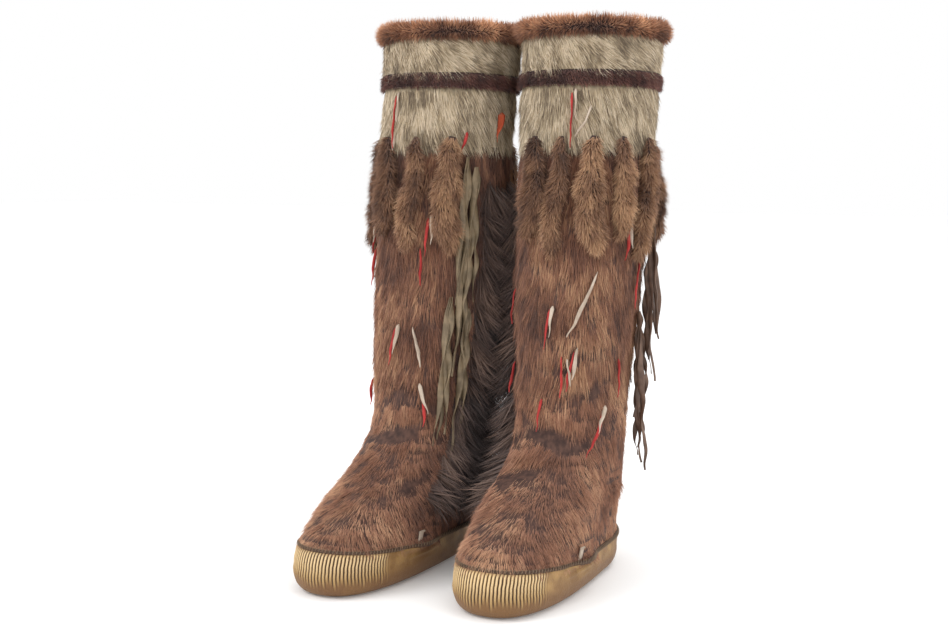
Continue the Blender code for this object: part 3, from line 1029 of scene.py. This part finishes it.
# %% Strips
def route_of(node, steps):
    """The middle line of a packed round piece that hangs, from its top to its bottom."""
    corners = corner_points(node)
    corners = corners[corners[:, 2].argsort()[::-1]]
    groups = np.array_split(corners, len(corners) // 6)
    line = np.array([group.mean(0) for group in groups])
    level = np.linspace(corners[0, 2], corners[-1, 2], steps)
    return np.stack([np.interp(-level, -line[:, 2], line[:, k]) for k in (0, 1)] + [level], 1)


STRIP_STEPS = 22
STRIP_WIDTH = 0.0086
CURL = 0.0072
STRIP_HAIR = {**FLUFFY, "length": 0.0082, "width": 0.0010, "lift": 0.75, "stray": 1.3, "density": 1450000,
              "finish": strip_hair}
strip_joints = {j["child"]: Vector(j["axis"]) for j in frame["joints"] if "fur_strip" in j["name"]}
for side in SIDES:
    for count in range(1, 8):
        node = f"{side}_fur_strip_{count}"
        path = route_of(node, STRIP_STEPS)
        along = np.linspace(0, 1, STRIP_STEPS)
        aside = np.array(strip_joints[node])
        out = np.array(strip_joints[node].cross(Vector((0, 0, 1))))
        phase = 1.7 * count + (2.0 if side == "left" else 0.0)
        reach = 0.96 + 0.10 * math.sin(phase * 1.3)
        path[:, 2] = path[0, 2] + (path[:, 2] - path[0, 2]) * reach
        path += aside * (CURL * along * np.sin(3.4 * along + phase))[:, None]
        width = STRIP_WIDTH * (1 + 0.22 * math.sin(phase * 2.1))
        swell = width * np.interp(along, (0, 0.12, 0.45, 0.85, 1), (0.30, 0.62, 1.0, 0.9, 0.25))
        swell *= 1 + 0.12 * np.sin(along * 17 + phase)
        points, away, down = tube_grid(path, swell, 0.5, out, sides=12)
        core = closed_body(node + "_core", points, dark_under)
        bed = grid_object("bed", points)
        lie = np.broadcast_to(down[:, None], points.shape) * 0.9
        lighter = 0.08 if side == "left" else -0.02
        tone = patchy(points, 0.02, 6.0) + 0.20 * np.sin(phase * 3) + lighter
        coat = bed_fur(bed, node + "_fur", lie, tone, {**STRIP_HAIR, "seed": 70 + count})
        dressed(core, node, "strip_fur", node)
        dressed(coat, node, "strip_fur")
print("a strip has", len(coat.data.polygons), "faces of hair")

# %% [markdown]
# Where the boots face each other the fur is longer, and its loose hairs nearly fill the
# space between the two legs. Its near-black colour is painted shade for that dark gap. The
# lower patch lies over the ankle, so it bends with the foot's skin.

# %% Shag between the boots
SHAG = {"width": 0.0012, "lift": 0.80, "tuft": 0.010, "stray": 2.2, "contrast": 0.25, "density": 900000,
        "seed": 95, "finish": shag_hair}
LEG_SHAG = {"right": (0.20, 0.40), "left": (0.60, 0.82)}
ANKLE_SHAG = {"right": (0.16, 0.42), "left": (0.60, 0.86)}
SHAG_ROWS, SHAG_COLUMNS = 40, 48
ACROSS = np.linspace(0, 1, SHAG_COLUMNS)
UP = np.linspace(0, 1, SHAG_ROWS)[:, None]


def shag(side, name, low, high, shares, length, fade):
    """A patch of near-black shag, painted shade, between two shares of the way round. It is browner where it
    fades out.
    """
    shares, heights, points, away = skin_points(side, low, high, SHAG_ROWS, *shares, SHAG_COLUMNS)
    border = np.minimum(np.minimum(ACROSS, 1 - ACROSS) * 1.4, fade)
    tone = 0.18 + 0.6 * (patchy(points, 0.02, 9.0) - 0.5) + 0.7 * np.clip(1 - border / 0.22, 0, 1)
    bed = grid_object("bed", points, closed=False)
    lie = lying(away, shares, heights, 0, 30, 5.0)
    return bed_fur(bed, f"{side}_{name}", lie, tone, {**SHAG, "length": length})


ragged = 0.006 * np.sin(np.arange(SHAG_COLUMNS) * 0.9) + 0.006 * np.sin(np.arange(SHAG_COLUMNS) * 0.37)
for side in SIDES:
    levels = LEVELS[side]
    top = levels.cuff - 0.038 + ragged
    coat = shag(side, "inner_shag", levels.ankle + 0.004, top, LEG_SHAG[side], 0.034, 1 - UP)
    dressed(coat, side + "_leg", "leg_fur")
    coat = shag(side, "ankle_shag", 0.066, levels.ankle, ANKLE_SHAG[side], 0.030, UP + 0.15)
    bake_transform(coat, side + "_foot", side + "_leg", *ankle_bend(side))
    print(side, "ankle shag has", len(coat.data.polygons), "faces")

# %% [markdown]
# ## The crimped sole
#
# The sole is one piece of hide. Its edge is turned up all round, and at the toe the
# spare length is gathered into narrow upright crimps. The grid is fine round the toe and
# coarse elsewhere. Geometry Nodes then press a groove between each pair of crimps, and
# store how high each point of a crimp stands, for the painted shade in the grooves.

# %% Sole grid
HIDE = 0.0026
TOE_ZONE = 0.070
FINE, COARSE = 0.0005, 0.005
WALL_ROWS = 22


def toe_shares(girth):
    """Shares round the sole, close together in the toe zone and wider apart elsewhere."""
    fine = np.arange(-TOE_ZONE, TOE_ZONE, FINE)
    rest = np.linspace(TOE_ZONE, girth - TOE_ZONE, int((girth - 2 * TOE_ZONE) / COARSE))[:-1]
    along = np.concatenate([fine, rest])
    return along / girth, along - girth * (along > girth / 2)


def sole_grid(side):
    """Rings of points from the middle of the bottom, up the outside and down the inside."""
    boot, levels = BOOTS[side], LEVELS[side]
    shares, along = toe_shares(boot.girth(0.03))
    bottom = boot.at(shares, 0.0006)
    bottom[:, 2] = 0.0
    middle = bottom.mean(0)
    top = levels.welt_at(shares) - levels.welt_radius - 0.0002
    rings, rise = [], []
    for share in (0.02, 0.3, 0.6, 0.85, 0.97):
        rings.append(middle + (bottom - middle) * share)
        rise.append(-1.0)
    for row in range(WALL_ROWS):
        part = (row + 1) / WALL_ROWS
        height = np.maximum(top * part**1.15, 0.0007)
        out = boot.away(shares, height)
        belly = 0.0012 * math.sin(math.pi * min(part * 1.5, 1.0))
        rings.append(boot.at(shares, height) + out * belly)
        rise.append(part)
    lip = boot.at(shares, top) - boot.away(shares, top) * HIDE / 2
    lip[:, 2] = top + 0.0003
    rings.append(lip)
    rise.append(-1.0)
    for part in (0.98, 0.75, 0.5, 0.25, 0.12):
        height = np.maximum(top * part, HIDE)
        rings.append(boot.at(shares, height) - boot.away(shares, height) * HIDE)
        rise.append(-1.0)
    floor_inside = middle + (bottom - middle) * 0.5
    floor_inside[:, 2] = HIDE
    rings += [floor_inside, middle + (bottom - middle) * 0.02 + np.array([0, 0, HIDE])]
    rise += [-1.0, -1.0]
    return np.array(rings), np.broadcast_to(along, (len(rings), len(along))), np.array(rise)


# %% [markdown]
# The crimps follow a rule, so a tree makes them. A sine along the edge, bent upwards by a
# power, gives round ridges with narrow grooves. Chance makes some crimps longer and some
# deeper, and the whole pattern fades out towards the sides and the bottom.

# %% Crimps
CRIMP_SIZES = {"pitch": "Float", "depth": "Float", "zone": "Float", "reach": "Float", "finish": "Material"}
crimp = Growth("crimps", CRIMP_SIZES)
along, rise = crimp.stored("along"), crimp.stored("rise")
turns = along / crimp.given("pitch") + 0.12 * (crimp.node("ShaderNodeTexNoise", None, {"Scale": 90.0}) - 0.5)
number = turns.maths("FLOOR", turns)
chance = crimp.node("ShaderNodeTexWhiteNoise", {"noise_dimensions": "1D"}, {"W": number}, outlet="Value")
wave = turns.maths("ABSOLUTE", turns.maths("SINE", turns * math.pi))
ridge = wave.maths("POWER", wave, 0.55)
far = along.maths("ABSOLUTE", along)
inside = crimp.between(far, crimp.given("zone") - 0.012, crimp.given("zone"), 1.0, 0.0)
start = 1.0 - crimp.given("reach") + 0.16 * (chance - 0.5)
upper = crimp.between(rise, start - 0.12, start + 0.12)
edge = crimp.between(rise, 0.97, 1.01, 1.0, 0.45)
shown = inside * upper * edge
height = (ridge - 0.62) * shown * (0.75 + 0.5 * chance)
moved = crimp.node("GeometryNodeSetPosition", None, {
    "Geometry": crimp.given("Geometry"),
    "Offset": crimp.scaled(crimp.node("GeometryNodeInputNormal"), height * crimp.given("depth"))})
for name, value in (("ridge", ridge), ("shown", shown)):
    moved = crimp.node("GeometryNodeStoreNamedAttribute", {"data_type": "FLOAT", "domain": "POINT"},
                       {"Geometry": moved, "Name": name, "Value": value})
crimp.give(moved)

# %% [markdown]
# The hide is golden where it was smoked and rubbed, amber low on the toe, and pale on
# the crimp crests, partly from rubbing and partly as a painted highlight. The grooves are
# almost black-brown, which is painted shade. Slow noise stains it and a fine one gives it grain.

# %% Crimped hide
hide = Finish("crimped_hide", 0.62, 0.05)
ridge, shown = hide.attribute("ridge"), hide.attribute("shown")
level = hide.node("ShaderNodeSeparateXYZ", None, {0: hide.place()}).also("Z")
grain = hide.noise(0.0012, 4.0)
cloud = hide.between(hide.noise(0.018, 4.0), 0.38, 0.66)
stain = hide.between(hide.noise(0.03, 5.0), 0.56, 0.72)
colour = hide.mix((0.24, 0.125, 0.038), (0.42, 0.250, 0.085), cloud)
low_down = hide.between(level, 0.010, 0.025, 1.0, 0.0)
colour = hide.mix(colour, (0.170, 0.076, 0.022), low_down * (0.70 + 0.3 * cloud))
colour = hide.mix(colour, (0.16, 0.085, 0.045), stain * 0.65)
# Paler crimp crests, paler still higher up: partly rubbed wear, partly a painted highlight.
crest_wear_and_highlight = hide.between(ridge, 0.70, 0.94) * shown
# Painted shade: the grooves between the crimps are darkened almost to black.
groove_painted_shade = hide.between(ridge, 0.40, 0.76, 1.0, 0.0) * shown
crest_colour_worn_and_lit = hide.mix((0.46, 0.29, 0.11), (0.80, 0.59, 0.32), hide.between(level, 0.014, 0.030))
colour = hide.mix(colour, crest_colour_worn_and_lit, crest_wear_and_highlight * 0.85)
colour = hide.mix(colour, (0.022, 0.009, 0.004), groove_painted_shade)
colour = hide.mix(colour, (0.30, 0.18, 0.08), hide.between(grain, 0.55, 0.75) * 0.35)
hide.feed("Base Color", colour)
hide.feed("Roughness", 0.48 + 0.3 * grain)
hide.relief(grain + 0.4 * cloud, 0.0007)
hide = hide.material

# %% [markdown]
# Each sole is its grid closed into one body, crimped by the tree, and moves with its foot.

# %% Soles
CRIMPING = {"pitch": 0.0030, "depth": 0.0013, "zone": 0.066, "reach": 0.56, "finish": hide}
for side in SIDES:
    rings, along, rise = sole_grid(side)
    body = closed_body("bed", rings, hide)
    store(body, "along", along)
    store(body, "rise", np.broadcast_to(rise[:, None], along.shape))
    sole = crimp.grow(body, side + "_crimped_sole", **CRIMPING)
    bpy.data.objects.remove(body)
    dressed(sole, side + "_foot", "crimped_hide", side + "_sole")
    print(side, "sole has", len(sole.data.polygons), "faces")

# %% [markdown]
# ## The seam over the sole
#
# A thin dark strip of hide is caught in the seam between the sole and the fur foot, and
# it is sewn down with sinew. Geometry Nodes lay one slanting stitch every few
# millimetres along the seam's line, each a short bent cord of a few dozen faces.

# %% Welt and its finish
welt_hide = Finish("welt_hide", 0.75)
fine = welt_hide.noise(0.0015, 3.0)
welt_hide.feed("Base Color", welt_hide.mix((0.035, 0.018, 0.011), (0.11, 0.06, 0.035), fine))
welt_hide.relief(fine, 0.0004)
sinew = Finish("sinew_thread", 0.55)
fine = sinew.noise(0.0012, 2.0)
sinew.feed("Base Color", sinew.mix((0.10, 0.060, 0.035), (0.26, 0.18, 0.11), fine))
sinew.relief(fine, 0.0002)

stitching = Growth("stitches", {"pitch": "Float", "length": "Float", "slant": "Float", "finish": "Material"})
line = stitching.node("GeometryNodeMeshToCurve", None, {0: stitching.given("Geometry")})
spacing = {0: line, "Length": stitching.given("pitch")}
spots = stitching.node("GeometryNodeCurveToPoints", {"mode": "LENGTH"}, spacing)
way = stitching.scaled(spots.also("Tangent"), stitching.given("slant"))
way = stitching.vector("ADD", way, (0.0, 0.0, 1.0))
facing = stitching.node("FunctionNodeAxesToRotation", {"primary_axis": "X", "secondary_axis": "Z"},
                        {0: way, 1: stitching.stored("away", "FLOAT_VECTOR")})
arc = {"Resolution": 5, "Radius": 0.5, "Start Angle": 0.35, "Sweep Angle": 2.44}
arc = stitching.node("GeometryNodeCurveArc", {"mode": "RADIUS"}, arc)
thread = {"Resolution": 5, "Radius": 0.13}
thread = stitching.node("GeometryNodeCurvePrimitiveCircle", {"mode": "RADIUS"}, thread)
thread = {"Curve": arc, "Profile Curve": thread, "Fill Caps": True}
thread = stitching.node("GeometryNodeCurveToMesh", None, thread)
thread = stitching.node("GeometryNodeTransform", None, {"Geometry": thread, "Translation": (0.0, 0.0, -0.35),
                        "Rotation": (math.pi / 2, 0.0, 0.0)})
span = stitching.given("length")
span = stitching.node("ShaderNodeCombineXYZ", None, {0: span, 1: span * 0.8, 2: span * 0.9})
sewn = stitching.node("GeometryNodeInstanceOnPoints", None,
                      {"Points": spots, "Instance": thread, "Rotation": facing, "Scale": span})
stitching.give(stitching.node("GeometryNodeRealizeInstances", None, {0: sewn}))


STITCH = {"pitch": 0.0031, "length": 0.0036, "slant": 0.35, "finish": sinew.material}
WELT_THICK = 0.0016


def line_object(points, away, ring=True):
    """A row of joined points that a tree can follow, with the direction away from the boot."""
    count = len(points)
    mesh = bpy.data.meshes.new("line")
    mesh.from_pydata(points.tolist(), [(i, (i + 1) % count) for i in range(count if ring else count - 1)], [])
    made = bpy.data.objects.new("line", mesh)
    bpy.context.scene.collection.objects.link(made)
    store(made, "away", away, "FLOAT_VECTOR")
    return made


for side in SIDES:
    boot, levels = BOOTS[side], LEVELS[side]
    shares = np.arange(COLUMNS) / COLUMNS
    away = boot.away(shares, levels.welt)
    path = boot.at(shares, levels.welt) - away * 0.0008
    points, _, _ = tube_grid(path, np.full(COLUMNS, WELT_THICK), 1.0, away, sides=8, closed=True)
    strip = closed_body(side + "_welt_strip", points, welt_hide.material, ring=True)
    dressed(strip, side + "_foot", "sinew", side + "_welt")
    guide = line_object(path + away * WELT_THICK, away)
    sewn = stitching.grow(guide, side + "_welt_stitches", **STITCH)
    bpy.data.objects.remove(guide)
    dressed(sewn, side + "_foot", "sinew")
    print(side, "stitches:", len(sewn.data.polygons), "faces")

# %% [markdown]
# ## Tabs, yarn and thongs
#
# A thong of the fringe is a flat strip of hide that has twisted as it dried. Its line is
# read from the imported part, pushed about by noise, and given a turning flat section.
# Geometry Nodes sweep the section, because a twist along a path is one input there.

# %% Flat strips
RIBBON_SIZES = {"width": "Float", "thick": "Float", "twist": "Float", "waver": "Float", "grain": "Float",
                "seed": "Float", "finish": "Material"}
ribbon = Growth("flat strip", RIBBON_SIZES)
line = ribbon.node("GeometryNodeMeshToCurve", None, {0: ribbon.given("Geometry")})
line = ribbon.node("GeometryNodeResampleCurve", None, {"Curve": line, "Count": 48})
share = ribbon.node("GeometryNodeSplineParameter", outlet="Factor")
spot = ribbon.node("GeometryNodeInputPosition")
push = {"Vector": spot, "W": ribbon.given("seed"), "Scale": 1 / ribbon.given("grain"), "Detail": 1.0}
push = ribbon.node("ShaderNodeTexNoise", {"noise_dimensions": "4D"}, push, outlet="Color")
push = ribbon.vector("MULTIPLY", ribbon.vector("SUBTRACT", push, (0.5, 0.5, 0.5)), (1.0, 1.0, 0.0))
push = ribbon.scaled(push, ribbon.given("waver") * share)
line = ribbon.node("GeometryNodeSetPosition", None, {"Geometry": line, "Offset": push})
tilt = ribbon.given("twist") * share + ribbon.given("seed")
line = ribbon.node("GeometryNodeSetCurveTilt", None, {0: line, "Tilt": tilt})
thin = ribbon.between(share, 0.55, 1.0, 1.0, 0.30) * ribbon.between(share, 0.0, 0.10, 0.4, 1.0)
section = {"Resolution": 8, "Radius": 0.5}
section = ribbon.node("GeometryNodeCurvePrimitiveCircle", {"mode": "RADIUS"}, section)
size = ribbon.node("ShaderNodeCombineXYZ", None, {0: ribbon.given("width"), 1: ribbon.given("thick"), 2: 1.0})
section = ribbon.node("GeometryNodeTransform", None, {"Geometry": section, "Scale": size})
line = ribbon.node("GeometryNodeSetCurveRadius", None, {"Curve": line, "Radius": thin})
swept = {"Curve": line, "Profile Curve": section, "Fill Caps": True, "Scale": thin}
swept = ribbon.node("GeometryNodeCurveToMesh", None, swept)
swept = ribbon.node("GeometryNodeSetShadeSmooth", None, {0: swept})
ribbon.give(swept)


def thong_finish(name, dark, light, roughness=0.6, fibre=0.0012):
    """A finish of two tones, streaked up and down."""
    made = Finish(name, roughness)
    streak = made.noise(fibre, 3.0, stretch=(1, 1, 0.15))
    cloud = made.between(made.noise(0.012, 3.0), 0.35, 0.65)
    made.feed("Base Color", made.mix(dark, light, streak * 0.5 + cloud * 0.5))
    made.relief(streak, 0.0004)
    return made.material


THONG_HIDES = {
    "left": thong_finish("dark_thong_hide", (0.050, 0.026, 0.017), (0.20, 0.115, 0.075)),
    "right": thong_finish("olive_thong_hide", (0.085, 0.060, 0.033), (0.30, 0.22, 0.13)),
}
red_wool = thong_finish("red_wool", (0.24, 0.014, 0.014), (0.52, 0.045, 0.038), 0.9, 0.0007)
orange_felt = thong_finish("orange_felt", (0.42, 0.06, 0.02), (0.62, 0.12, 0.05), 0.95, 0.0009)
white_strip = thong_finish("white_strip", (0.34, 0.25, 0.18), (0.62, 0.52, 0.42), 0.7, 0.0010)

# %% [markdown]
# The fringe has five bundles on each boot. The thongs of a bundle start close together,
# spread apart on the way down and have different lengths, and all of them swing with
# their bundle.

# %% Fringe
THONG = {"width": 0.0064, "thick": 0.0018, "waver": 0.013, "grain": 0.028}
THONG_STEPS = 16
STRANDS = {"right": (-1, 0, 1), "left": (-2, -1, 0, 1, 2)}
for side in SIDES:
    for count in range(1, 6):
        node = f"{side}_fringe_{count}"
        path = route_of(node, THONG_STEPS)
        out = path.mean(0) - np.array(ANKLES[side])
        out[2] = 0
        out /= np.linalg.norm(out)
        beside = np.array([-out[1], out[0], 0])
        spread = np.linspace(0, 1, THONG_STEPS)[:, None]
        for strand in STRANDS[side]:
            way = path + beside * strand * (0.0012 + 0.0036 * spread)
            way += out * (0.0014 + 0.0042 * abs(strand) * spread)
            reach = 1.10 - 0.11 * (strand + 1) * (0.4 + 0.2 * (count % 2))
            way[:, 2] = path[0, 2] + (path[:, 2] - path[0, 2]) * reach
            guide = line_object(way, np.broadcast_to(out, way.shape), ring=False)
            thong = ribbon.grow(guide, f"{node}_thong_{strand + 3}", **THONG, finish=THONG_HIDES[side],
                                twist=5.0 + 2.3 * strand + count, seed=count + 3.1 * strand)
            bpy.data.objects.remove(guide)
            stands_for = (node,) if strand == STRANDS[side][0] else ()
            dressed(thong, node, "thong_hide", *stands_for)
    print(side, "boot has", 5 * len(STRANDS[side]), "thongs")

# %% [markdown]
# Short ends of red yarn and white hide are drawn through the skin and lie on the fur.
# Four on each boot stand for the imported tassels. The others are placed by their share of
# the way round and their height.

# %% Yarn ends
YARN_STEPS = 10
# Share round the boot, height, lean along the skin, length, and what it is made of.
MORE_ENDS = {
    "left": (
        (0.036, 0.188, 0.002, 0.034, "red"), (0.200, 0.184, 0.0, 0.032, "red"),
        (0.992, 0.152, -0.002, 0.028, "red"), (0.160, 0.141, -0.012, 0.036, "red"),
        (0.168, 0.146, -0.010, 0.022, "white"), (0.245, 0.266, -0.008, 0.040, "red"),
        (0.105, 0.258, -0.020, 0.054, "white"), (0.050, 0.186, 0.004, 0.022, "white"),
        (0.850, 0.240, 0.004, 0.030, "red"), (0.860, 0.178, 0.002, 0.026, "red"),
        (0.066, 0.395, -0.010, 0.026, "white"),
    ),
    "right": (
        (0.128, 0.374, -0.006, 0.018, "red"), (0.225, 0.392, -0.006, 0.026, "felt"),
        (0.036, 0.274, 0.004, 0.032, "red"), (0.030, 0.206, 0.010, 0.034, "white"),
        (0.058, 0.158, 0.008, 0.026, "white"), (0.072, 0.142, 0.002, 0.022, "red"),
        (0.850, 0.272, 0.0, 0.034, "red"), (0.845, 0.156, -0.010, 0.026, "red"),
        (0.945, 0.374, 0.004, 0.020, "white"),
    ),
}
YARNS = {"red": red_wool, "felt": orange_felt, "white": white_strip}
END_WIDTHS = {"red": 0.0029, "felt": 0.0065, "white": 0.0036}
END_LIFT = 0.0042


def lying_line(side, share, height, aside, length, lift):
    """A line down the skin from a spot, rising a little out of the fur towards its end."""
    boot = BOOTS[side]
    part = np.linspace(0, 1, YARN_STEPS)
    shares = share + aside * part / boot.girth(height)
    heights = height - length * part
    away = boot.away(shares, heights)
    return boot.at(shares, heights) + away * (lift * (0.15 + 0.85 * np.sqrt(part)))[:, None], away


def yarn_end(side, name, spot, made_of, *nodes):
    """One end of yarn, felt or hide. Spot gives its share, height, lean and length."""
    way, away = lying_line(side, *spot, END_LIFT)
    guide = line_object(way, away, ring=False)
    piece = ribbon.grow(guide, name, width=END_WIDTHS[made_of], thick=0.0016, twist=1.8, waver=0.009,
                        grain=0.016, seed=spot[1] * 40, finish=YARNS[made_of])
    bpy.data.objects.remove(guide)
    return dressed(piece, side + "_leg", "red_yarn" if made_of != "white" else "white_hide", *nodes)


def share_of(side, point):
    """The share round the boot nearest to a point."""
    ring = BOOTS[side].at(np.arange(COLUMNS) / COLUMNS, point[2])
    return float(np.linalg.norm(ring - point, axis=1).argmin()) / COLUMNS


for side in SIDES:
    for count in range(1, 5):
        node = f"{side}_tassel_{count}"
        top = corner_points(node)
        top = top[top[:, 2].argmax()]
        on_cuff = top[2] > LEVELS[side].cuff
        spot = (share_of(side, top), float(top[2]), 0.003 - 0.002 * count, 0.046 if on_cuff else 0.033)
        yarn_end(side, node + "_yarn", spot, "red", node)
        beside = (spot[0] + 0.007, spot[1] + 0.003, spot[2] + 0.002, 0.026)
        yarn_end(side, node + "_hide_end", beside, "white")
    for count, (share, height, aside, length, made_of) in enumerate(MORE_ENDS[side], 1):
        yarn_end(side, f"{side}_end_{count}", (share, height, aside, length), made_of)

# %% [markdown]
# ## Hide tabs
#
# A small tab of white hide stands at each corner of the crimped toe. It is a strip bent
# over at the top, built as a curved sheet and given its thickness and soft edges.

# %% Tabs
TAB_ROWS, TAB_COLUMNS = 12, 5
for side in SIDES:
    for place in ("inner", "outer"):
        node = f"{side}_{place}_tab"
        corners = corner_points(node)
        middle = corners.mean(0)
        share = share_of(side, middle)
        low, high = corners[:, 2].min(), corners[:, 2].max()
        away = BOOTS[side].away(share, middle[2])
        along = np.cross(away, (0, 0, 1.0))
        along /= np.linalg.norm(along)
        rows = []
        for row in range(TAB_ROWS):
            part = row / (TAB_ROWS - 1)
            root = BOOTS[side].at(share, middle[2])
            root = root + away * (0.0018 + 0.0022 * math.sin(part * math.pi * 0.8) + 0.0010 * part)
            root[2] = min(low - 0.003 + (high - low + 0.001) * math.sin(part * math.pi * 0.62), high)
            half = 0.0030 * (1 - 0.18 * math.sin(part * 5))
            rows.append([root + along * half * (2 * i / (TAB_COLUMNS - 1) - 1) for i in range(TAB_COLUMNS)])
        tab = grid_object(node + "_hide", np.array(rows)[:, ::-1], closed=False)
        walled(tab, white_strip, white_strip, 0.0013)
        tab.data.shade_smooth()
        dressed(tab, side + "_foot", "white_hide", node)
print("tabs, yarn ends and thongs are sewn on")

# %% [markdown]
# ## Insoles
#
# A felt insole lies loose in each boot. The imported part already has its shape, so it only
# gets the finish: matted wool, grey-brown, with fine speckles and a soft nap.

# %% Felt
felt = Finish("insole_felt", 0.95, 0.1)
nap, speck = felt.noise(0.0016, 5.0), felt.between(felt.noise(0.0008, 2.0), 0.55, 0.70)
colour = felt.mix((0.20, 0.165, 0.125), (0.36, 0.31, 0.25), felt.between(felt.noise(0.02, 4.0), 0.35, 0.65))
felt.feed("Base Color", felt.mix(colour, (0.52, 0.47, 0.40), speck * 0.5))
felt.relief(nap, 0.0007)
for side in SIDES:
    for slot in frame["nodes"][side + "_insole"].material_slots:
        slot.material = felt.material
print("the insoles are felt")
